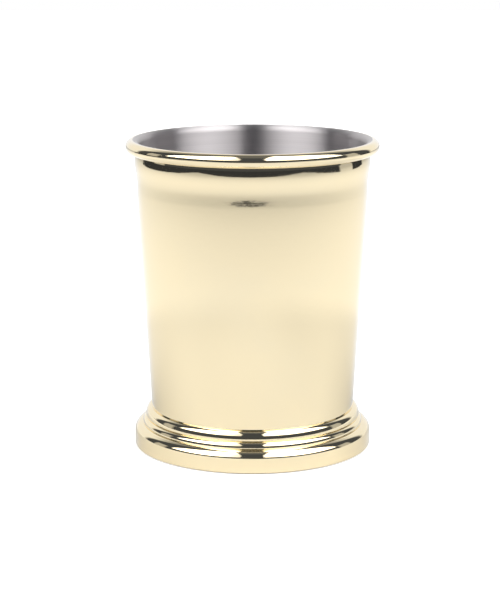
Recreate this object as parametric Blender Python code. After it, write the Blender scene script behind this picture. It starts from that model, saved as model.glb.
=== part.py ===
"""Mint julep cup: a tapered drinking cup with a rolled bead rim on a stepped foot ring.

Five pieces, all turned about the vertical axis: the drawn cup shell, the wire
inside its rolled rim, the pressed foot ring, and the two solder joints that
hold the foot ring to the shell. Metres, +Z up, origin at the centre of the
foot's resting plane.
"""

import math

import bmesh
import bpy
from mathutils import Vector

# Overall sizes
CUP_HEIGHT = 0.1050
SHEET = 0.0008
GAP = 0.0003
TURN_STEPS = 64

# Rolled rim: a round bead whose inner side is flush with the cup's inner wall
BEAD_OUTER_RADIUS = 0.0426
BEAD_TUBE_RADIUS = 0.00223
BEAD_END_ANGLE = math.radians(-108.0)
WIRE_RADIUS = 0.0011
WIRE_STEPS = 8
BEAD_OUTSIDE_STEPS = 19
BEAD_BORE_STEPS = 8

# Wall, outer surface: a straight taper, then the widening per height at each of these heights
TAPER_RADIUS = 0.03474
TAPER_RADIUS_HEIGHT = 0.0166
TAPER_SLOPE = 0.0577
WALL_SLOPES = (
    (0.0790, TAPER_SLOPE),
    (0.0867, 0.0400),
    (0.0885, 0.0200),
    (0.0909, 0.0400),
    (0.0929, 0.1220),
    (0.0948, 0.1760),
    (0.0964, 0.1200),
    (0.0977, 0.0340),
    (0.0989, -0.0100),
    (0.1004, -0.1200),
)
CURVE_STEPS = 5

# Floor of the cup
FLOOR_HEIGHT = 0.0020
FLOOR_CORNER_RADIUS = 0.0030

# Foot ring: three rounded ribs over a plain band, a hem and a flat flange. Each rib, from the
# lowest up, is a row of bends: the tilt of the face above level at both ends, length and steps
FOOT_RADIUS = 0.0404
BAND_TOP_HEIGHT = 0.00491
RIB_BENDS = (
    ((0.0, 7.7, 0.00043, 1), (7.7, 19.3, 0.00048, 1), (19.3, 66.0, 0.00244, 4), (66.0, 90.0, 0.00100, 2)),
    ((-25.0, 7.7, 0.00041, 1), (7.7, 19.3, 0.00069, 1), (19.3, 66.0, 0.00138, 4), (66.0, 106.0, 0.00031, 1)),
    ((-40.0, 7.7, 0.00099, 2), (7.7, 19.3, 0.00128, 1), (19.3, 66.0, 0.00170, 4), (66.0, 88.0, 0.00028, 1)),
)
STEEPEST_INSIDE_TILT = 66.0
HEM_HEIGHT = 0.00042
HEM_WIDTH = 0.0011
HEM_EDGE_RADIUS = 0.00016
FLANGE_INNER_RADIUS = 0.0285

# Solder joints
LOWER_SOLDER_INNER_RADIUS = 0.0289
LOWER_SOLDER_OUTER_RADIUS = 0.0308
UPPER_SOLDER_WIDTH = 0.0006
UPPER_SOLDER_FALL = 0.0010
UPPER_SOLDER_DEPTH = 0.0024

BEAD_CENTRE_RADIUS = BEAD_OUTER_RADIUS - BEAD_TUBE_RADIUS
BEAD_CENTRE_HEIGHT = CUP_HEIGHT - BEAD_TUBE_RADIUS
BEAD_BORE_RADIUS = BEAD_TUBE_RADIUS - SHEET


def taper_radius(height):
    """Outer radius of the straight tapered wall at a height."""
    return TAPER_RADIUS + TAPER_SLOPE * (height - TAPER_RADIUS_HEIGHT)


def arc(centre_radius, centre_height, radius, start, end, steps):
    """Points along an arc in the (radius, height) plane."""
    points = []
    for step in range(steps + 1):
        angle = start + (end - start) * step / steps
        points.append((centre_radius + radius * math.cos(angle), centre_height + radius * math.sin(angle)))
    return points


def wall_outside():
    """The outer surface from the floor corner up to the crease under the bead."""
    corner_height = FLOOR_HEIGHT + FLOOR_CORNER_RADIUS
    corner_centre = taper_radius(corner_height) - FLOOR_CORNER_RADIUS
    points = arc(corner_centre, corner_height, FLOOR_CORNER_RADIUS, -math.pi / 2, 0.0, CURVE_STEPS)
    radius = taper_radius(WALL_SLOPES[0][0])
    points.append((radius, WALL_SLOPES[0][0]))
    for (low, first), (high, second) in zip(WALL_SLOPES, WALL_SLOPES[1:]):
        radius += (high - low) * (first + second) / 2
        points.append((radius, high))
    return points


def wall_inside():
    """The smooth inner surface from the bead down to the middle of the floor."""
    taper_top = WALL_SLOPES[0][0]
    corner_height = FLOOR_HEIGHT + FLOOR_CORNER_RADIUS
    corner_centre = taper_radius(corner_height) - FLOOR_CORNER_RADIUS
    corner_radius = FLOOR_CORNER_RADIUS - SHEET
    points = [(taper_radius(taper_top) - SHEET, taper_top)]
    points += arc(corner_centre, corner_height, corner_radius, 0.0, -math.pi / 2, CURVE_STEPS)
    points.append((0.0, FLOOR_HEIGHT + SHEET))
    return points


def turn(name, outline, material, parent, base_height=0.0):
    """Turn an outline of (radius, height) points about Z into one solid object at base_height.

    An outline that starts on the axis also ends there; any other is a closed loop.
    """
    mesh = bpy.data.meshes.new(name)
    shape = bmesh.new()
    corners = [shape.verts.new((radius, 0.0, height)) for radius, height in outline]
    edges = [shape.edges.new(pair) for pair in zip(corners, corners[1:])]
    if outline[0][0] > 0.0:
        edges.append(shape.edges.new((corners[-1], corners[0])))
    bmesh.ops.spin(
        shape,
        geom=corners + edges,
        cent=Vector(),
        axis=Vector((0.0, 0.0, 1.0)),
        angle=math.tau,
        steps=TURN_STEPS,
        use_merge=True,
    )
    bmesh.ops.remove_doubles(shape, verts=shape.verts, dist=1e-6)
    bmesh.ops.recalc_face_normals(shape, faces=shape.faces)
    shape.to_mesh(mesh)
    shape.free()
    mesh.shade_smooth()
    mesh.set_sharp_from_angle(angle=math.radians(32.0))
    mesh.materials.append(material)
    piece = bpy.data.objects.new(name, mesh)
    bpy.context.scene.collection.objects.link(piece)
    piece.parent = parent
    piece.location.z = base_height
    return piece


def metal(name, colour, roughness):
    """A metallic Principled material."""
    material = bpy.data.materials.new(name)
    material.use_nodes = True
    shader = material.node_tree.nodes["Principled BSDF"]
    shader.inputs["Base Color"].default_value = (*colour, 1.0)
    shader.inputs["Metallic"].default_value = 1.0
    shader.inputs["Roughness"].default_value = roughness
    return material


def cup_shell(parent):
    """Floor, wall, shoulder and rolled bead, all one piece.

    The outline starts on the axis under the floor, climbs the outside of the
    wall, follows the inside of the bead to its free end, comes back over the
    bead's outside and runs down the inside of the wall to the axis.
    """
    bead_centre = (BEAD_CENTRE_RADIUS, BEAD_CENTRE_HEIGHT)
    bore = arc(*bead_centre, BEAD_BORE_RADIUS, math.pi, BEAD_END_ANGLE, BEAD_BORE_STEPS)
    bead = arc(*bead_centre, BEAD_TUBE_RADIUS, BEAD_END_ANGLE, math.pi, BEAD_OUTSIDE_STEPS)
    outline = [(0.0, FLOOR_HEIGHT)] + wall_outside() + bore + bead + wall_inside()
    return turn("cup_shell", outline, metal("gold plated steel", (0.94, 0.80, 0.52), 0.08), parent)


def rim_wire(parent):
    """Round steel wire that the bead is rolled over."""
    outline = arc(BEAD_CENTRE_RADIUS, 0.0, WIRE_RADIUS, 0.0, math.tau, WIRE_STEPS)
    outline.pop()
    steel = metal("wire steel", (0.55, 0.55, 0.56), 0.35)
    return turn("rim_wire", outline, steel, parent, BEAD_CENTRE_HEIGHT)


def rib_points():
    """The ribs' outer surface from the band up, each point as (radius, height, tilt in degrees)."""
    radius = FOOT_RADIUS
    height = BAND_TOP_HEIGHT
    points = [(radius, height, 0.0)]
    for rib in RIB_BENDS:
        for first, last, length, steps in rib:
            for step in range(steps):
                tilt = math.radians(first + (last - first) * (step + 0.5) / steps)
                radius -= math.sin(tilt) * length / steps
                height += math.cos(tilt) * length / steps
                points.append((radius, height, first + (last - first) * (step + 1) / steps))
    return points


def foot_ring(parent):
    """Pressed moulding: three ribs, a plain band, a hem and an inward flange that it stands on."""
    ribs = rib_points()
    inside = []
    for radius, height, tilt in ribs:
        if tilt <= STEEPEST_INSIDE_TILT:
            lean = math.radians(tilt)
            inside.append((radius - SHEET * math.cos(lean), height - SHEET * math.sin(lean)))
    hem_top = HEM_HEIGHT + HEM_EDGE_RADIUS
    outline = [(radius, height) for radius, height, _ in reversed(ribs)]
    outline += arc(FOOT_RADIUS - HEM_EDGE_RADIUS, hem_top, HEM_EDGE_RADIUS, 0.0, -math.pi / 2, 2)
    outline.append((FOOT_RADIUS - HEM_WIDTH, HEM_HEIGHT))
    outline.append((FOOT_RADIUS - HEM_WIDTH, 0.0))
    outline.append((FLANGE_INNER_RADIUS, 0.0))
    outline.append((FLANGE_INNER_RADIUS, SHEET))
    outline.append((FOOT_RADIUS - SHEET, SHEET))
    outline += inside
    return turn("foot_ring", outline, metal("gold plating", (0.95, 0.81, 0.52), 0.06), parent)


def lower_solder_ring(parent, solder):
    """Flat solder seam between the foot ring's flange and the underside of the cup."""
    flange_top = SHEET + GAP
    thickness = FLOOR_HEIGHT - GAP - flange_top
    outline = [
        (LOWER_SOLDER_OUTER_RADIUS, thickness),
        (LOWER_SOLDER_OUTER_RADIUS, 0.0),
        (LOWER_SOLDER_INNER_RADIUS, 0.0),
        (LOWER_SOLDER_INNER_RADIUS, thickness),
    ]
    return turn("lower_solder_ring", outline, solder, parent, flange_top)


def upper_solder_ring(parent, solder):
    """Three-cornered solder fillet under the foot ring's top edge, against the wall."""
    rib_underside = rib_points()[-1][1] - SHEET - GAP
    inner_radius = taper_radius(rib_underside) + GAP
    outline = [
        (inner_radius + UPPER_SOLDER_WIDTH, -UPPER_SOLDER_FALL),
        (inner_radius, -UPPER_SOLDER_DEPTH),
        (inner_radius, 0.0),
    ]
    return turn("upper_solder_ring", outline, solder, parent, rib_underside)


def clear_scene():
    """Remove the objects that the scene starts with."""
    for leftover in list(bpy.data.objects):
        bpy.data.objects.remove(leftover, do_unlink=True)


def build():
    """Build every piece under one empty at the centre of the foot."""
    clear_scene()
    cup = bpy.data.objects.new("julep_cup", None)
    bpy.context.scene.collection.objects.link(cup)
    solder = metal("solder", (0.62, 0.61, 0.58), 0.45)
    cup_shell(cup)
    rim_wire(cup)
    foot_ring(cup)
    upper_solder_ring(cup, solder)
    lower_solder_ring(cup, solder)


build()
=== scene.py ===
"""Looks of the mint julep cup: fine turned meshes, metal finishes, studio and camera.

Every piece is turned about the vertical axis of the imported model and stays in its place.
Lengths are metres, angles are degrees in the sizes and radians in the work.
"""

import logging
import math
from dataclasses import dataclass, field
from enum import Enum

import bmesh
import bpy
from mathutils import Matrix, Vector


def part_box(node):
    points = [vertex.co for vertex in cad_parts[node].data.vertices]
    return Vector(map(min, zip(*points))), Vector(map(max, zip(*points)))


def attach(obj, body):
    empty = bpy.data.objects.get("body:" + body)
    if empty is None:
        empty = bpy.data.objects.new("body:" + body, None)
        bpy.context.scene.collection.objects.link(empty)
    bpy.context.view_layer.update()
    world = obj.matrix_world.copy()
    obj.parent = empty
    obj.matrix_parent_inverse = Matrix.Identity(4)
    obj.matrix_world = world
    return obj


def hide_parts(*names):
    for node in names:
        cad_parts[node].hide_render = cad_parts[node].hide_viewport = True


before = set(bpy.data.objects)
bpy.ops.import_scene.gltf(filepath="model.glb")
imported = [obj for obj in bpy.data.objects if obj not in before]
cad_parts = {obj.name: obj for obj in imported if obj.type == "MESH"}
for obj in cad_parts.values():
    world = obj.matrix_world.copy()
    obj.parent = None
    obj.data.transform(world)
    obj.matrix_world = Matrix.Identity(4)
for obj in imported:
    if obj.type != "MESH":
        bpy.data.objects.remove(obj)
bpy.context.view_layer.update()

log = logging.getLogger("julep_cup")

MM = 0.001
BODY = "root"
TURN_STEPS = 256
SHARP_ANGLE = math.radians(35.0)
MERGE_DISTANCE = 1e-7

Socket = bpy.types.NodeSocket
Edge = tuple[float, float]


# ---------------------------------------------------------------- turned meshes


class Outline:
    """A turned piece's section, drawn with one pen in the XZ plane and then spun about Z."""

    def __init__(self, radius: float, height: float) -> None:
        """Put the pen down.

        Args:
            radius: Distance from the turning axis.
            height: Height of the first point.
        """
        self.shape = bmesh.new()
        self.pen = self.shape.verts.new((radius, 0.0, height))
        self.start = self.pen

    def line_to(self, radius: float, height: float) -> None:
        """Extrude the pen's vertex to a new point.

        Args:
            radius: Distance of the new point from the turning axis.
            height: Height of the new point.
        """
        made = bmesh.ops.extrude_vert_indiv(self.shape, verts=[self.pen])
        self.pen = made["verts"][0]
        self.pen.co = (radius, 0.0, height)

    def through(self, points: list[tuple[float, float]]) -> None:
        """Extrude the pen's vertex through points in turn.

        Args:
            points: (radius, height) pairs.
        """
        for radius, height in points:
            self.line_to(radius, height)

    def arc(self, centre_radius: float, centre_height: float, sweep: float, steps: int) -> None:
        """Spin the pen's vertex about a centre in the section plane.

        Args:
            centre_radius: Distance of the arc's centre from the turning axis.
            centre_height: Height of the arc's centre.
            sweep: Angle in degrees, positive from outwards to upwards.
            steps: Number of edges.
        """
        made = bmesh.ops.spin(
            self.shape,
            geom=[self.pen],
            cent=(centre_radius, 0.0, centre_height),
            axis=(0.0, -1.0, 0.0),
            angle=math.radians(sweep),
            steps=steps,
        )
        self.pen = next(part for part in made["geom_last"] if isinstance(part, bmesh.types.BMVert))

    def close(self) -> None:
        """Join the pen's vertex to the first one."""
        self.shape.edges.new((self.pen, self.start))

    def turned(self, steps: int = TURN_STEPS) -> bmesh.types.BMesh:
        """Spin the section once round Z.

        Args:
            steps: Number of faces round the piece.

        Returns:
            The closed shape, with its faces pointing out.
        """
        bmesh.ops.spin(
            self.shape,
            geom=list(self.shape.verts) + list(self.shape.edges),
            cent=(0.0, 0.0, 0.0),
            axis=(0.0, 0.0, 1.0),
            angle=math.tau,
            steps=steps,
            use_merge=True,
        )
        bmesh.ops.remove_doubles(self.shape, verts=self.shape.verts, dist=MERGE_DISTANCE)
        bmesh.ops.recalc_face_normals(self.shape, faces=self.shape.faces)
        return self.shape


def finished_piece(name: str, shape: bmesh.types.BMesh, node: str) -> bpy.types.Object:
    """Turn a shape into a smooth-shaded piece that stands for a CAD node.

    Args:
        name: The piece's name.
        shape: Its mesh, which is used up.
        node: The CAD node that it replaces.

    Returns:
        The piece, riding on the cup.
    """
    mesh = bpy.data.meshes.new(name)
    shape.to_mesh(mesh)
    shape.free()
    mesh.shade_smooth()
    mesh.set_sharp_from_angle(angle=SHARP_ANGLE)
    piece = bpy.data.objects.new(name, mesh)
    bpy.context.scene.collection.objects.link(piece)
    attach(piece, BODY)
    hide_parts(node)
    return piece


# ---------------------------------------------------------------- shader helpers


class Side(Enum):
    """The two sides of a node group."""

    IN = "INPUT"
    OUT = "OUTPUT"


class Graph:
    """A node tree being wired up."""

    def __init__(self, tree: bpy.types.NodeTree) -> None:
        """Keep the tree.

        Args:
            tree: A material's, world's or group's node tree.
        """
        self.tree = tree

    def node(self, kind: str, **settings: object) -> bpy.types.Node:
        """Add a node.

        Args:
            kind: Its type, such as ShaderNodeMath.
            **settings: Attributes to set on it.

        Returns:
            The node.
        """
        made = self.tree.nodes.new(kind)
        for key, value in settings.items():
            setattr(made, key, value)
        return made

    def feed(self, socket: Socket, value: object) -> None:
        """Link a socket to an output, or set it to a plain value.

        Args:
            socket: The input to feed.
            value: An output socket, a number, a colour or a vector.
        """
        if isinstance(value, Socket):
            self.tree.links.new(value, socket)
        else:
            socket.default_value = value

    def math(self, operation: str, *values: object) -> Socket:
        """Add a Math node and return its value."""
        made = self.node("ShaderNodeMath", operation=operation)
        for socket, value in zip(made.inputs, values):
            self.feed(socket, value)
        return made.outputs["Value"]

    def chain(self, operation: str, first: object, *others: object) -> Socket:
        """Join several values, two at a time, with one Math operation and return the last result."""
        joined = first
        for value in others:
            joined = self.math(operation, joined, value)
        return joined

    def ramp(self, value: object, low: float, high: float) -> Socket:
        """Add a smooth Map Range node from low and high to 0 and 1, and return its result."""
        made = self.node("ShaderNodeMapRange", interpolation_type="SMOOTHSTEP")
        self.feed(made.inputs["Value"], value)
        made.inputs["From Min"].default_value = low
        made.inputs["From Max"].default_value = high
        return made.outputs["Result"]

    def mix(self, share: object, first: object, second: object) -> Socket:
        """Add a colour Mix node and return its result."""
        made = self.node("ShaderNodeMix", data_type="RGBA")
        for index, value in ((0, share), (6, first), (7, second)):
            self.feed(made.inputs[index], value)
        return made.outputs[2]

    def noise(self, vector: object, scale: float, detail: float = 2.0) -> Socket:
        """Add a Noise Texture and return its factor."""
        made = self.node("ShaderNodeTexNoise")
        self.feed(made.inputs["Vector"], vector)
        made.inputs["Scale"].default_value = scale
        made.inputs["Detail"].default_value = detail
        return made.outputs[0]

    def place(self) -> Socket:
        """Add a Texture Coordinate node and return its Object coordinates."""
        return self.node("ShaderNodeTexCoord").outputs["Object"]


def new_group(
    name: str, sockets: list[tuple[str, Side, str, float | None]]
) -> tuple[Graph, bpy.types.Node, bpy.types.Node]:
    """Start a shader node group.

    Args:
        name: The group's name.
        sockets: (name, side, type without NodeSocket, default or None) for each socket.

    Returns:
        The group's graph, its input node and its output node.
    """
    tree = bpy.data.node_groups.new(name, "ShaderNodeTree")
    for label, side, kind, default in sockets:
        made = tree.interface.new_socket(name=label, in_out=side.value, socket_type="NodeSocket" + kind)
        if default is not None:
            made.default_value = default
    graph = Graph(tree)
    return graph, graph.node("NodeGroupInput"), graph.node("NodeGroupOutput")


LINE_DRIFT = 14.0
BROAD_SCALE = 0.16
HAZE_SCALE = 34.0
HAZE_EDGE = (0.46, 0.72)
HAIR_TURN = (0.5, 0.3, 0.9)
HAIR_STRETCH = (220.0, 220.0, 9.0)
HAIR_EDGE = (0.020, 0.004)
WORN_SCALE = 55.0
WORN_EDGE = (0.56, 0.68)


@dataclass(frozen=True)
class Effects:
    """Node groups that more than one finish uses."""

    turned: bpy.types.NodeTree
    handled: bpy.types.NodeTree

    @staticmethod
    def build() -> "Effects":
        """Build each group once."""
        return Effects(Effects.build_turned(), Effects.build_handled())

    @staticmethod
    def build_turned() -> bpy.types.NodeTree:
        """Fine lines that run round the turning axis, as a height and a tint mask."""
        graph, given, out = new_group(
            "turned lines",
            [
                ("Position", Side.IN, "Vector", None),
                ("Line Width", Side.IN, "Float", 0.0004),
                ("Height", Side.OUT, "Float", None),
                ("Mask", Side.OUT, "Float", None),
            ],
        )
        split = graph.node("ShaderNodeSeparateXYZ")
        graph.feed(split.inputs[0], given.outputs["Position"])
        across = graph.math("MULTIPLY", split.outputs["X"], split.outputs["X"])
        along = graph.math("MULTIPLY", split.outputs["Y"], split.outputs["Y"])
        radius = graph.math("SQRT", graph.math("ADD", across, along))
        frequency = graph.math("DIVIDE", 1.0, given.outputs["Line Width"])
        drift = graph.math("MULTIPLY", split.outputs["X"], LINE_DRIFT)
        join = graph.node("ShaderNodeCombineXYZ")
        graph.feed(join.inputs["X"], graph.math("MULTIPLY", radius, frequency))
        graph.feed(join.inputs["Y"], graph.math("MULTIPLY", split.outputs["Z"], frequency))
        graph.feed(join.inputs["Z"], drift)
        lines = graph.noise(join.outputs[0], 1.0, 4.0)
        broad = graph.noise(join.outputs[0], BROAD_SCALE)
        graph.feed(out.inputs["Height"], lines)
        graph.feed(out.inputs["Mask"], graph.math("MULTIPLY", broad, lines))
        return graph.tree

    @staticmethod
    def build_handled() -> bpy.types.NodeTree:
        """Marks of use on polished metal: faint wiped haze and hairline scratches."""
        graph, given, out = new_group(
            "handling marks",
            [
                ("Position", Side.IN, "Vector", None),
                ("Haze", Side.OUT, "Float", None),
                ("Scratch", Side.OUT, "Float", None),
            ],
        )
        place = given.outputs["Position"]
        haze = graph.ramp(graph.noise(place, HAZE_SCALE, 5.0), *HAZE_EDGE)
        stretch = graph.node("ShaderNodeMapping")
        graph.feed(stretch.inputs["Vector"], place)
        stretch.inputs["Rotation"].default_value = HAIR_TURN
        stretch.inputs["Scale"].default_value = HAIR_STRETCH
        hairs = graph.node("ShaderNodeTexVoronoi", feature="DISTANCE_TO_EDGE")
        graph.feed(hairs.inputs["Vector"], stretch.outputs[0])
        hairs.inputs["Scale"].default_value = 1.0
        thin = graph.ramp(hairs.outputs["Distance"], *HAIR_EDGE)
        worn = graph.ramp(graph.noise(place, WORN_SCALE), *WORN_EDGE)
        graph.feed(out.inputs["Haze"], haze)
        graph.feed(out.inputs["Scratch"], graph.math("MULTIPLY", thin, worn))
        return graph.tree


def applied(graph: Graph, tree: bpy.types.NodeTree, **values: object) -> bpy.types.Node:
    """Place a node group in a material.

    Args:
        graph: The material's graph.
        tree: The group.
        **values: Its inputs by name, with _ for a space.

    Returns:
        The group node.
    """
    made = graph.node("ShaderNodeGroup", node_tree=tree)
    for key, value in values.items():
        graph.feed(made.inputs[key.replace("_", " ")], value)
    return made


def raised(graph: Graph, height: object, strength: float, depth: float) -> Socket:
    """Add a Bump node.

    Args:
        graph: The material's graph.
        height: The height to raise.
        strength: Share of the bump that shows.
        depth: Height of the bump in metres.

    Returns:
        The bumped normal.
    """
    bump = graph.node("ShaderNodeBump")
    bump.inputs["Strength"].default_value = strength
    bump.inputs["Distance"].default_value = depth
    graph.feed(bump.inputs["Height"], height)
    return bump.outputs[0]


def metal_base(name: str) -> tuple[bpy.types.Material, Graph, bpy.types.Node]:
    """Start a metal material.

    Args:
        name: The material's name.

    Returns:
        The material, its graph and its Principled shader.
    """
    material = bpy.data.materials.new(name)
    material.use_nodes = True
    shader = material.node_tree.nodes["Principled BSDF"]
    shader.inputs["Metallic"].default_value = 1.0
    return material, Graph(material.node_tree), shader


@dataclass(frozen=True)
class PolishedGold:
    """Bright, pale gold plating with a mirror polish. Its colour is painted paler at the silhouettes: a
    painted reflection of the white studio.
    """

    colour: tuple[float, float, float] = (0.950, 0.826, 0.570)
    worn_colour: tuple[float, float, float] = (0.90, 0.80, 0.58)
    # Painted reflection: the near-white that the base colour turns to at the silhouettes, standing in for
    # the white studio mirrored at grazing angles
    grazing_reflection_colour: tuple[float, float, float] = (0.985, 0.955, 0.90)
    roughness: float = 0.045
    haze: float = 0.035
    haze_tint: float = 0.35
    scratch_roughness: float = 0.05
    grazing_reflection_from: float = 0.70
    line_width: float = 0.7 * MM
    line_share: float = 0.25
    scratch_share: float = -0.5
    ripple: float = 0.30
    ripple_scale: float = 420.0
    ripple_depth: float = 0.02 * MM

    def material(self, effects: Effects) -> bpy.types.Material:
        """Build the finish.

        Args:
            effects: The shared node groups.

        Returns:
            The material.
        """
        material, graph, shader = metal_base("polished gold plating")
        place = graph.place()
        marks = applied(graph, effects.handled, Position=place)
        lines = applied(graph, effects.turned, Position=place, Line_Width=self.line_width)
        tone = graph.math("MULTIPLY", marks.outputs["Haze"], self.haze_tint)
        face_on = graph.mix(tone, (*self.colour, 1.0), (*self.worn_colour, 1.0))
        # Painted reflection: where the surface turns away from the eye, the base colour is blended towards
        # near-white, in place of the bright studio mirrored there
        grazing = graph.node("ShaderNodeLayerWeight").outputs["Facing"]
        pale = graph.ramp(grazing, self.grazing_reflection_from, 1.0)
        graph.feed(shader.inputs["Base Color"], graph.mix(pale, face_on, (*self.grazing_reflection_colour, 1.0)))
        dull = graph.math("MULTIPLY_ADD", marks.outputs["Haze"], self.haze, self.roughness)
        dull = graph.math("MULTIPLY_ADD", marks.outputs["Scratch"], self.scratch_roughness, dull)
        graph.feed(shader.inputs["Roughness"], dull)
        ripple = graph.noise(place, self.ripple_scale)
        height = graph.math("MULTIPLY_ADD", lines.outputs["Height"], self.line_share, ripple)
        height = graph.math("MULTIPLY_ADD", marks.outputs["Scratch"], self.scratch_share, height)
        graph.feed(shader.inputs["Normal"], raised(graph, height, self.ripple, self.ripple_depth))
        return material


@dataclass(frozen=True)
class SpunSteel:
    """Stainless steel brushed round the turning axis."""

    colour: tuple[float, float, float] = (0.67, 0.64, 0.645)
    dark_colour: tuple[float, float, float] = (0.50, 0.475, 0.485)
    roughness: float = 0.38
    grain: float = 0.10
    line_width: float = 0.5 * MM
    line_strength: float = 0.25
    line_depth: float = 0.02 * MM
    anisotropy: float = 1.0
    anisotropy_turn: float = 0.25

    def material(self, effects: Effects) -> bpy.types.Material:
        """Build the finish.

        Args:
            effects: The shared node groups.

        Returns:
            The material.
        """
        material, graph, shader = metal_base("spun stainless steel")
        place = graph.place()
        lines = applied(graph, effects.turned, Position=place, Line_Width=self.line_width)
        graph.feed(
            shader.inputs["Base Color"],
            graph.mix(lines.outputs["Mask"], (*self.colour, 1.0), (*self.dark_colour, 1.0)),
        )
        graph.feed(
            shader.inputs["Roughness"],
            graph.math("MULTIPLY_ADD", lines.outputs["Height"], self.grain, self.roughness),
        )
        shader.inputs["Anisotropic"].default_value = self.anisotropy
        shader.inputs["Anisotropic Rotation"].default_value = self.anisotropy_turn
        tangent = graph.node("ShaderNodeTangent", direction_type="RADIAL", axis="Z")
        graph.feed(shader.inputs["Tangent"], tangent.outputs[0])
        normal = raised(graph, lines.outputs["Height"], self.line_strength, self.line_depth)
        graph.feed(shader.inputs["Normal"], normal)
        return material


@dataclass(frozen=True)
class DullMetal:
    """Solder or drawn wire: a plain metal with a blotchy, slightly oxidised surface."""

    name: str
    colour: tuple[float, float, float]
    oxide: tuple[float, float, float]
    roughness: float
    grain_scale: float
    grain_strength: float = 0.4
    grain_depth: float = 0.04 * MM
    oxide_roughness: float = 0.18

    def material(self) -> bpy.types.Material:
        """Build the finish and return the material."""
        material, graph, shader = metal_base(self.name)
        place = graph.place()
        blotch = graph.noise(place, self.grain_scale, 5.0)
        patina = graph.ramp(blotch, 0.40, 0.66)
        graph.feed(shader.inputs["Base Color"], graph.mix(patina, (*self.colour, 1.0), (*self.oxide, 1.0)))
        dull = graph.math("MULTIPLY_ADD", patina, self.oxide_roughness, self.roughness)
        graph.feed(shader.inputs["Roughness"], dull)
        normal = raised(graph, blotch, self.grain_strength, self.grain_depth)
        graph.feed(shader.inputs["Normal"], normal)
        return material


# ---------------------------------------------------------------- the cup's pieces


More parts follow.
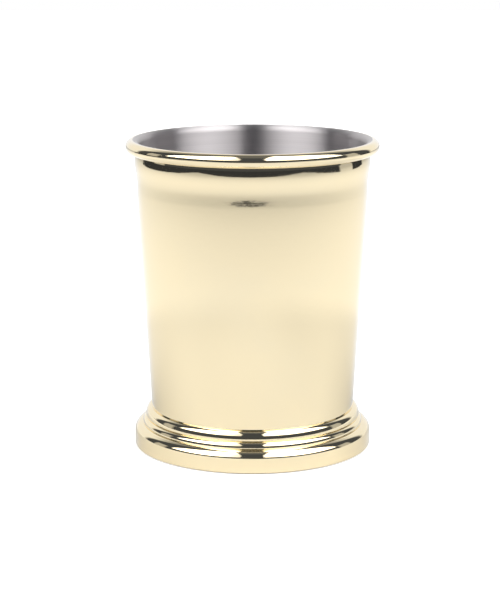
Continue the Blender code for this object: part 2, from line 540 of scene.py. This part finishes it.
@dataclass
class CupShell:
    """Drawn steel cup: floor, tapered wall, soft shoulder and rolled bead in one sheet.

    The bead angles turn from outwards, at 0, to upwards, at 90.
    """

    sheet: float = 0.8 * MM
    bead_radius: float = 2.23 * MM
    bead_end: float = -108.0
    taper_radius: float = 34.74 * MM
    taper_height: float = 16.6 * MM
    taper_slope: float = 0.0577
    crease_height: float = 100.4 * MM
    floor_corner: float = 3.0 * MM
    lip_angle: float = 92.0
    # How fast the wall widens with height above the straight taper, at each of these heights
    slopes: tuple[tuple[float, float], ...] = (
        (79.0 * MM, 0.0577),
        (86.7 * MM, 0.040),
        (88.35 * MM, 0.0206),
        (90.9 * MM, 0.040),
        (92.9 * MM, 0.122),
        (94.8 * MM, 0.176),
        (96.4 * MM, 0.120),
        (97.7 * MM, 0.034),
        (98.9 * MM, -0.01),
        (100.4 * MM, -0.12),
    )
    slope_step: float = 0.2 * MM
    corner_steps: int = 12
    bore_steps: int = 24
    bead_steps: int = 60
    inside_share: float = 0.30
    piece: bpy.types.Object = field(init=False)

    def __post_init__(self) -> None:
        """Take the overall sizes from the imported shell."""
        low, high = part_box("cup_shell")
        self.floor = low.z
        self.top = high.z
        self.bead_centre = (high.x - self.bead_radius, high.z - self.bead_radius)
        self.bore_radius = self.bead_radius - self.sheet

    def straight_radius(self, height: float) -> float:
        """Outer radius of the straight taper at a height."""
        return self.taper_radius + self.taper_slope * (height - self.taper_height)

    def slope_at(self, height: float) -> float:
        """How fast the wall widens at a height, on a smooth curve through the stated ones."""
        knots = self.slopes
        part = next((i for i in range(1, len(knots) - 1) if height <= knots[i][0]), len(knots) - 1)
        (low, first), (high, second) = knots[part - 1], knots[part]
        before, after = knots[max(part - 2, 0)], knots[min(part + 1, len(knots) - 1)]
        rise = (second - before[1]) / (high - before[0]) * (high - low)
        fall = (after[1] - first) / (after[0] - low) * (high - low)
        t = (height - low) / (high - low)
        start = (2 * t**3 - 3 * t**2 + 1) * first + (t**3 - 2 * t**2 + t) * rise
        return start + (3 * t**2 - 2 * t**3) * second + (t**3 - t**2) * fall

    def shoulder(self) -> list[tuple[float, float]]:
        """Outer points from the end of the straight taper up to the crease under the bead."""
        height = self.slopes[0][0]
        radius = self.straight_radius(height)
        points = [(radius, height)]
        while height < self.slopes[-1][0] - self.slope_step / 2:
            radius += self.slope_at(height + self.slope_step / 2) * self.slope_step
            height += self.slope_step
            points.append((radius, height))
        return points

    def build(self) -> None:
        """Draw the section from under the floor, up the outside, round the bead and down the inside."""
        outline = Outline(0.0, self.floor)
        corner_height = self.floor + self.floor_corner
        corner_centre = self.straight_radius(corner_height) - self.floor_corner
        outline.line_to(corner_centre, self.floor)
        outline.arc(corner_centre, corner_height, 90.0, self.corner_steps)
        shoulder = self.shoulder()
        outline.through(shoulder)
        outline.line_to(self.bead_centre[0] - self.bore_radius, self.bead_centre[1])
        outline.arc(*self.bead_centre, self.bead_end - 180.0, self.bore_steps)
        end = math.radians(self.bead_end)
        outline.line_to(
            self.bead_centre[0] + self.bead_radius * math.cos(end),
            self.bead_centre[1] + self.bead_radius * math.sin(end),
        )
        outline.arc(*self.bead_centre, 180.0 - self.bead_end, self.bead_steps)
        inner_low = self.straight_radius(shoulder[0][1]) - self.sheet
        inner_top = self.bead_centre[0] - self.bead_radius
        outline.line_to((inner_low + inner_top) / 2, (self.bead_centre[1] + shoulder[0][1]) / 2)
        outline.line_to(inner_low, shoulder[0][1])
        outline.line_to(corner_centre + self.floor_corner - self.sheet, corner_height)
        outline.arc(corner_centre, corner_height, -90.0, self.corner_steps)
        outline.line_to(0.0, self.floor + self.sheet)
        self.piece = finished_piece("cup_shell_fine", outline.turned(), "cup_shell")

    def is_inside(self, centre: Vector) -> bool:
        """Whether a face with this centre is bare steel on the inside of the cup."""
        radius = math.hypot(centre.x, centre.y)
        if centre.z > self.bead_centre[1]:
            lip = math.radians(self.lip_angle)
            return radius < self.bead_centre[0] + self.bead_radius * math.cos(lip)
        if centre.z > self.crease_height:
            return radius < self.bead_centre[0] - self.bore_radius - self.sheet / 2
        above_floor = centre.z > self.floor + self.sheet / 2
        return above_floor and radius < self.straight_radius(centre.z) - self.sheet * self.inside_share

    def dress(self, gold: bpy.types.Material, steel: bpy.types.Material) -> None:
        """Plate the outside and the bead, and leave the inside bare.

        Args:
            gold: The plating.
            steel: The bare inside.
        """
        mesh = self.piece.data
        mesh.materials.append(gold)
        mesh.materials.append(steel)
        for face in mesh.polygons:
            face.material_index = 1 if self.is_inside(face.center) else 0


@dataclass
class FootRing:
    """Pressed foot: three rounded ribs, a plain band and the flange that it stands on."""

    sheet: float = 0.8 * MM
    lip_gap: float = 0.01 * MM
    band_top: float = 4.91 * MM
    # Ribs from the lowest up; each bend turns the face from one tilt above level to the next over a length
    ribs: tuple[tuple[tuple[float, float, float], ...], ...] = (
        ((0.0, 7.7, 0.43 * MM), (7.7, 19.3, 0.48 * MM), (19.3, 66.0, 2.44 * MM), (66.0, 90.0, 1.00 * MM)),
        ((-25.0, 7.7, 0.41 * MM), (7.7, 19.3, 0.69 * MM), (19.3, 66.0, 1.38 * MM), (66.0, 106.0, 0.31 * MM)),
        ((-40.0, 7.7, 0.99 * MM), (7.7, 19.3, 1.28 * MM), (19.3, 66.0, 1.70 * MM), (66.0, 88.0, 0.28 * MM)),
    )
    bend_steps: int = 8
    steepest_inside: float = 66.0
    hem_height: float = 0.42 * MM
    hem_width: float = 1.1 * MM
    hem_radius: float = 0.16 * MM
    hem_steps: int = 6
    flange_radius: float = 28.5 * MM
    piece: bpy.types.Object = field(init=False)

    def rib_points(self, outer: float, steps: int) -> list[tuple[float, float, float]]:
        """Walk up the outside of the ribs.

        Args:
            outer: Radius of the band under them.
            steps: Number of edges for each bend.

        Returns:
            (radius, height, tilt in degrees) from the band's top to the foot's top edge.
        """
        radius, height = outer, self.band_top
        points = [(radius, height, 0.0)]
        for rib in self.ribs:
            for first, last, length in rib:
                for step in range(steps):
                    tilt = math.radians(first + (last - first) * (step + 0.5) / steps)
                    radius -= math.sin(tilt) * length / steps
                    height += math.cos(tilt) * length / steps
                    points.append((radius, height, first + (last - first) * (step + 1) / steps))
        return points

    def inside_points(self, outer: float) -> list[tuple[float, float]]:
        """Follow the ribs' inner surface, one sheet inside the outer one.

        Args:
            outer: Radius of the band under the ribs.

        Returns:
            (radius, height) pairs from the band's top upwards, without the ribs' steep tops.
        """
        points = []
        for radius, height, tilt in self.rib_points(outer, 1):
            if tilt <= self.steepest_inside:
                lean = math.radians(tilt)
                points.append((radius - self.sheet * math.cos(lean), height - self.sheet * math.sin(lean)))
        return points

    def build(self, shell: CupShell) -> None:
        """Draw the section from the top edge down the outside, under the flange and back inside.

        Args:
            shell: The cup that the ring fits round.
        """
        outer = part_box("foot_ring")[1].x
        ribs = self.rib_points(outer, self.bend_steps)
        outside = [(radius, height) for radius, height, _ in reversed(ribs)]
        top = outside[0][1]
        start = shell.straight_radius(top) + self.lip_gap
        log.info("foot top %.3f mm, lip from %.3f to %.3f mm", top / MM, start / MM, outside[0][0] / MM)
        outline = Outline(start, top)
        outline.through(outside)
        outline.line_to(outer, self.hem_height + self.hem_radius)
        outline.arc(outer - self.hem_radius, self.hem_height + self.hem_radius, -90.0, self.hem_steps)
        outline.line_to(outer - self.hem_width, self.hem_height)
        outline.line_to(outer - self.hem_width, 0.0)
        outline.line_to(self.flange_radius, 0.0)
        outline.line_to(self.flange_radius, self.sheet)
        outline.line_to(outer - self.sheet, self.sheet)
        outline.through(self.inside_points(outer))
        outline.line_to(start, top - self.sheet)
        outline.close()
        self.piece = finished_piece("foot_ring_fine", outline.turned(), "foot_ring")

    def dress(self, gold: bpy.types.Material) -> None:
        """Plate the ring all over."""
        self.piece.data.materials.append(gold)


# ---------------------------------------------------------------- studio


WHITE = (1.0, 1.0, 1.0, 1.0)
DARK_TINT = (0.90, 1.0, 1.22, 1.0)
LEAST_LEVEL = 0.001


@dataclass(frozen=True)
class Direction:
    """The direction looked in, as sockets: its three parts, and the level ones as shares of the level."""

    side: Socket
    back: Socket
    up: Socket
    turn: Socket
    behind: Socket

    @staticmethod
    def read(graph: Graph) -> "Direction":
        """Read the direction in a world's graph.

        Args:
            graph: The world's graph.

        Returns:
            The direction.
        """
        split = graph.node("ShaderNodeSeparateXYZ")
        graph.feed(split.inputs[0], graph.node("ShaderNodeTexCoord").outputs["Generated"])
        side, back, up = split.outputs["X"], split.outputs["Y"], split.outputs["Z"]
        level = graph.math("SQRT", graph.math("SUBTRACT", 1.0, graph.math("MULTIPLY", up, up)))
        level = graph.math("MAXIMUM", level, LEAST_LEVEL)
        turn = graph.math("DIVIDE", side, level)
        behind = graph.math("DIVIDE", back, level)
        return Direction(side, back, up, turn, behind)


@dataclass
class Room:
    """What the metal mirrors above the table: two softboxes, two cards and a backdrop in a dark room.

    A pair of numbers is a soft edge, from where its light or its effect is off to where it is full,
    on a part of the direction looked in.
    """

    dark_light: float = 0.070
    lit_from: float = 3.0

    # Softboxes: the left one grows brighter to the left, the right one is brightest in its middle
    left_box_light: float = 1.05
    left_box_rise: float = 3.0
    left_box_bright: Edge = (-0.20, -0.78)
    right_box_light: float = 2.2
    right_box_rise: float = 1.8
    right_box_middle: float = 0.76
    right_box_spread: float = 0.50
    right_box_start: Edge = (-0.02, 0.02)

    # The softboxes' low edge and the half gap between them, in degrees, and how soft those edges are
    box_low_edge: float = 19.5
    box_low_softness: float = 0.025
    box_gap: float = 9.3
    box_gap_softness: float = 0.016
    gap_flare: float = 0.035
    gap_flare_low: Edge = (0.62, 0.36)

    # How far back the softboxes reach on the left, and how much further on the right, also when high
    box_back: float = -0.06
    right_box_back: float = 0.08
    right_box_back_high: float = 0.10
    box_back_high: Edge = (0.45, 0.95)
    box_back_softness: float = 0.03
    left_to_right: Edge = (-0.2, 0.2)

    card_light: float = 0.50
    card_front: Edge = (0.02, 0.10)
    card_rear: Edge = (0.35, 0.30)
    card_top: Edge = (0.42, 0.38)

    backdrop_edge: Edge = (0.59, 0.71)
    backdrop_left_lead: float = 0.08
    backdrop_high_light: float = 0.26
    backdrop_low_rise: float = 0.70
    backdrop_low: Edge = (0.80, 0.50)
    backdrop_top: Edge = (1.0, 0.86)
    ceiling_light: float = 0.16
    ceiling_edge: Edge = (0.72, 1.0)

    def build(self) -> None:
        """Build the world. The camera itself sees plain white around the table."""
        world = bpy.data.worlds.new("studio")
        bpy.context.scene.world = world
        world.use_nodes = True
        world.node_tree.nodes.clear()
        graph = Graph(world.node_tree)
        way = Direction.read(graph)
        cards = self.cards(graph, way)
        backdrop = self.backdrop(graph, way)
        boxes = self.softboxes(graph, way)
        sky = graph.chain("MAXIMUM", cards, backdrop, self.dark_light, boxes)
        lit = graph.ramp(sky, self.dark_light, self.lit_from * self.dark_light)
        to_eye = graph.node("ShaderNodeLightPath").outputs["Is Camera Ray"]
        background = graph.node("ShaderNodeBackground")
        graph.feed(background.inputs["Color"], graph.mix(to_eye, graph.mix(lit, DARK_TINT, WHITE), WHITE))
        graph.feed(background.inputs["Strength"], graph.math("MAXIMUM", to_eye, sky))
        out = graph.node("ShaderNodeOutputWorld")
        graph.feed(out.inputs["Surface"], background.outputs[0])

    def cards(self, graph: Graph, way: Direction) -> Socket:
        """Add a low reflector card on each side.

        Args:
            graph: The world's graph.
            way: The direction looked in.

        Returns:
            Their light.
        """
        front = graph.ramp(way.behind, *self.card_front)
        rear = graph.ramp(way.behind, *self.card_rear)
        top = graph.ramp(way.up, *self.card_top)
        return graph.chain("MULTIPLY", front, rear, top, self.card_light)

    def backdrop(self, graph: Graph, way: Direction) -> Socket:
        """Add the backdrop, which dims upwards, and a faint ceiling.

        Args:
            graph: The world's graph.
            way: The direction looked in.

        Returns:
            Their light.
        """
        low = graph.ramp(way.up, *self.backdrop_low)
        bright = graph.math("MULTIPLY_ADD", low, self.backdrop_low_rise, self.backdrop_high_light)
        left = graph.ramp(way.side, *reversed(self.left_to_right))
        place = graph.math("MULTIPLY_ADD", left, self.backdrop_left_lead, way.behind)
        edge = graph.ramp(place, *self.backdrop_edge)
        top = graph.ramp(way.up, *self.backdrop_top)
        ceiling = graph.math("MULTIPLY", graph.ramp(way.up, *self.ceiling_edge), self.ceiling_light)
        return graph.math("MAXIMUM", graph.chain("MULTIPLY", edge, bright, top), ceiling)

    def softboxes(self, graph: Graph, way: Direction) -> Socket:
        """Add a softbox on each side of the camera, above it, with a dark gap between them.

        Args:
            graph: The world's graph.
            way: The direction looked in.

        Returns:
            Their light.
        """
        low = math.sin(math.radians(self.box_low_edge))
        above = graph.ramp(way.up, low - self.box_low_softness, low + self.box_low_softness)
        flare = graph.math("MULTIPLY", graph.ramp(way.up, *self.gap_flare_low), self.gap_flare)
        off_middle = graph.math("SUBTRACT", graph.math("ABSOLUTE", way.side), flare)
        gap = math.sin(math.radians(self.box_gap))
        aside = graph.ramp(off_middle, gap - self.box_gap_softness, gap + self.box_gap_softness)
        high = graph.ramp(way.up, *self.box_back_high)
        further = graph.math("MULTIPLY_ADD", high, self.right_box_back_high, self.right_box_back)
        right_side = graph.ramp(way.side, *self.left_to_right)
        reach = graph.math("MULTIPLY_ADD", right_side, further, self.box_back)
        past = graph.math("SUBTRACT", way.back, reach)
        before = graph.ramp(past, self.box_back_softness, -self.box_back_softness)
        left_rise = graph.math("MULTIPLY", graph.ramp(way.turn, *self.left_box_bright), self.left_box_rise)
        left = graph.math("ADD", left_rise, self.left_box_light)
        off_peak = graph.math("ABSOLUTE", graph.math("SUBTRACT", way.turn, self.right_box_middle))
        peak = graph.ramp(off_peak, self.right_box_spread, 0.0)
        right = graph.math("MULTIPLY_ADD", peak, self.right_box_rise, self.right_box_light)
        right = graph.math("MULTIPLY", graph.ramp(way.side, *self.right_box_start), right)
        return graph.chain("MULTIPLY", above, aside, before, graph.math("MAXIMUM", left, right))


@dataclass
class Floor:
    """White floor, with an apron just over it that darkens only what the metal mirrors.

    Seen in the metal, the floor is a table that ends in front of the cup and beside it.

    A pair of numbers is a soft edge, from where its effect is off to where it is full. Lengths are
    from the cup's axis. Bearings are the way back over the way to the side.
    """

    size: float = 2.5
    white: tuple[float, float, float, float] = (0.82, 0.82, 0.82, 1.0)
    eye_light: float = 0.42
    apron_height: float = 0.2 * MM
    dark_light: float = 0.040

    # Past the table's front edge, which is a little askew, and its side edges there is only the dark
    askew: float = 0.049
    front_edge: Edge = (0.448, 0.470)
    side_edge: Edge = (0.53, 0.56)
    side_edge_bearing: Edge = (0.88, 0.80)
    card_front: Edge = (-0.02, 0.08)
    card_rear: Edge = (0.38, 0.34)
    card_right: Edge = (0.0, 0.1)
    card_cover: float = -0.9

    # The floor's light fades away from the cup, mostly to the front, and again close to it
    far_fade: float = 0.54
    far_range: Edge = (0.05, 0.60)
    far_forward_share: float = 0.3
    close_fade: float = 0.085
    close_range: Edge = (0.22, 0.17)
    left_fade: float = 0.04
    right_fade_more: float = 0.03
    left_to_right: Edge = (-0.1, 0.1)
    aside_range: Edge = (0.02, 0.14)
    under_fade: float = 0.09
    under_range: Edge = (0.15, 0.04)

    def plane(self, name: str, height: float) -> bpy.types.Object:
        """Make a level stage plane of the floor's size.

        Args:
            name: The plane's name.
            height: Its height.

        Returns:
            The plane.
        """
        shape = bmesh.new()
        bmesh.ops.create_grid(shape, x_segments=1, y_segments=1, size=self.size)
        bmesh.ops.translate(shape, vec=Vector((0.0, 0.0, height)), verts=shape.verts)
        mesh = bpy.data.meshes.new(name)
        shape.to_mesh(mesh)
        shape.free()
        plane = bpy.data.objects.new(name, mesh)
        bpy.context.scene.collection.objects.link(plane)
        return plane

    def build(self) -> None:
        """Build the floor, which the camera sees a little brighter than it is lit, and the apron."""
        material = bpy.data.materials.new("white floor")
        material.use_nodes = True
        material.node_tree.nodes.clear()
        graph = Graph(material.node_tree)
        diffuse = graph.node("ShaderNodeBsdfDiffuse")
        diffuse.inputs["Color"].default_value = self.white
        glow = graph.node("ShaderNodeEmission")
        to_eye = graph.node("ShaderNodeLightPath").outputs["Is Camera Ray"]
        graph.feed(glow.inputs["Strength"], graph.math("MULTIPLY", to_eye, self.eye_light))
        both = graph.node("ShaderNodeAddShader")
        graph.feed(both.inputs[0], diffuse.outputs[0])
        graph.feed(both.inputs[1], glow.outputs[0])
        out = graph.node("ShaderNodeOutputMaterial")
        graph.feed(out.inputs["Surface"], both.outputs[0])
        self.plane("floor", 0.0).data.materials.append(material)
        self.build_apron()

    def build_apron(self) -> None:
        """Build the apron, which only the metal sees: a dark glow where it covers the floor."""
        apron = self.plane("apron", self.apron_height)
        apron.visible_camera = False
        apron.visible_diffuse = False
        apron.visible_shadow = False
        apron.visible_transmission = False
        material = bpy.data.materials.new("dark apron")
        material.use_nodes = True
        material.node_tree.nodes.clear()
        graph = Graph(material.node_tree)
        split = graph.node("ShaderNodeSeparateXYZ")
        graph.feed(split.inputs[0], graph.place())
        side, back = split.outputs["X"], split.outputs["Y"]
        askew = graph.math("MULTIPLY_ADD", side, self.askew, back)
        forward = graph.math("MULTIPLY", askew, -1.0)
        fades = self.fades(graph, side, forward)
        edges = self.edges(graph, side, back, forward)
        dark = graph.node("ShaderNodeEmission")
        dark.inputs["Color"].default_value = DARK_TINT
        dark.inputs["Strength"].default_value = self.dark_light
        clear = graph.node("ShaderNodeBsdfTransparent")
        mixed = graph.node("ShaderNodeMixShader")
        graph.feed(mixed.inputs[0], graph.math("MAXIMUM", fades, edges))
        graph.feed(mixed.inputs[1], clear.outputs[0])
        graph.feed(mixed.inputs[2], dark.outputs[0])
        out = graph.node("ShaderNodeOutputMaterial")
        graph.feed(out.inputs["Surface"], mixed.outputs[0])
        apron.data.materials.append(material)

    def edges(self, graph: Graph, side: Socket, back: Socket, forward: Socket) -> Socket:
        """Cover what lies past the table's edges, with a gap for the card at its right.

        Args:
            graph: The apron's graph.
            side: The way to the right.
            back: The way back.
            forward: The way forward, askew with the table.

        Returns:
            The cover.
        """
        aside = graph.math("ABSOLUTE", side)
        bearing = graph.math("DIVIDE", back, aside)
        card = graph.chain(
            "MULTIPLY",
            graph.ramp(bearing, *self.card_front),
            graph.ramp(bearing, *self.card_rear),
            graph.ramp(side, *self.card_right),
        )
        past_side = graph.chain(
            "MULTIPLY",
            graph.ramp(aside, *self.side_edge),
            graph.ramp(bearing, *self.side_edge_bearing),
            graph.math("MULTIPLY_ADD", card, self.card_cover, 1.0),
        )
        return graph.math("MAXIMUM", graph.ramp(forward, *self.front_edge), past_side)

    def fades(self, graph: Graph, side: Socket, forward: Socket) -> Socket:
        """Cover the floor thinly far from the cup and close to it.

        Args:
            graph: The apron's graph.
            side: The way to the right.
            forward: The way forward, askew with the table.

        Returns:
            The cover.
        """
        length = graph.node("ShaderNodeVectorMath", operation="LENGTH")
        graph.feed(length.inputs[0], graph.place())
        radius = length.outputs["Value"]
        round_share = graph.math("MULTIPLY", radius, 1.0 - self.far_forward_share)
        away = graph.math("MULTIPLY_ADD", forward, self.far_forward_share, round_share)
        far = graph.math("MULTIPLY", graph.ramp(away, *self.far_range), self.far_fade)
        aside = graph.ramp(graph.math("ABSOLUTE", side), *self.aside_range)
        right = graph.ramp(side, *self.left_to_right)
        side_fade = graph.math("MULTIPLY_ADD", right, self.right_fade_more, self.left_fade)
        close_fade = graph.math("MULTIPLY_ADD", aside, side_fade, self.close_fade)
        close = graph.math("MULTIPLY", graph.ramp(radius, *self.close_range), close_fade)
        under = graph.math("MULTIPLY", graph.ramp(radius, *self.under_range), self.under_fade)
        return graph.chain("ADD", far, close, under)


@dataclass
class Camera:
    """Camera in front of the cup, a little above its rim."""

    place: tuple[float, float, float] = (-0.00083, -0.631, 0.1844)
    look_down: float = 12.056
    lens: float = 113.385

    def build(self) -> None:
        """Add the camera and make it the scene's."""
        data = bpy.data.cameras.new("camera")
        data.lens = self.lens
        camera = bpy.data.objects.new("camera", data)
        camera.location = self.place
        camera.rotation_euler = (math.radians(90.0 - self.look_down), 0.0, 0.0)
        bpy.context.scene.collection.objects.link(camera)
        bpy.context.scene.camera = camera


def main() -> None:
    """Build the pieces in order, dress them and set up the studio."""
    logging.basicConfig(level=logging.INFO, format="%(name)s: %(message)s")
    Room().build()
    Floor().build()
    Camera().build()
    bpy.context.scene.view_settings.view_transform = "Standard"
    effects = Effects.build()
    gold = PolishedGold().material(effects)
    steel = SpunSteel().material(effects)
    solder = DullMetal("tin solder", (0.62, 0.61, 0.58), (0.40, 0.38, 0.34), 0.38, 600.0).material()
    wire = DullMetal("drawn wire", (0.56, 0.56, 0.57), (0.34, 0.33, 0.32), 0.30, 900.0).material()
    shell = CupShell()
    shell.build()
    shell.dress(gold, steel)
    log.info("cup shell: %d faces", len(shell.piece.data.polygons))
    foot = FootRing()
    foot.build(shell)
    foot.dress(gold)
    log.info("foot ring: %d faces", len(foot.piece.data.polygons))
    for node, finish in (("rim_wire", wire), ("upper_solder_ring", solder), ("lower_solder_ring", solder)):
        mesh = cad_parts[node].data
        mesh.materials.clear()
        mesh.materials.append(finish)
        log.info("%s keeps its packed shape", node)


if __name__ == "__main__":
    main()
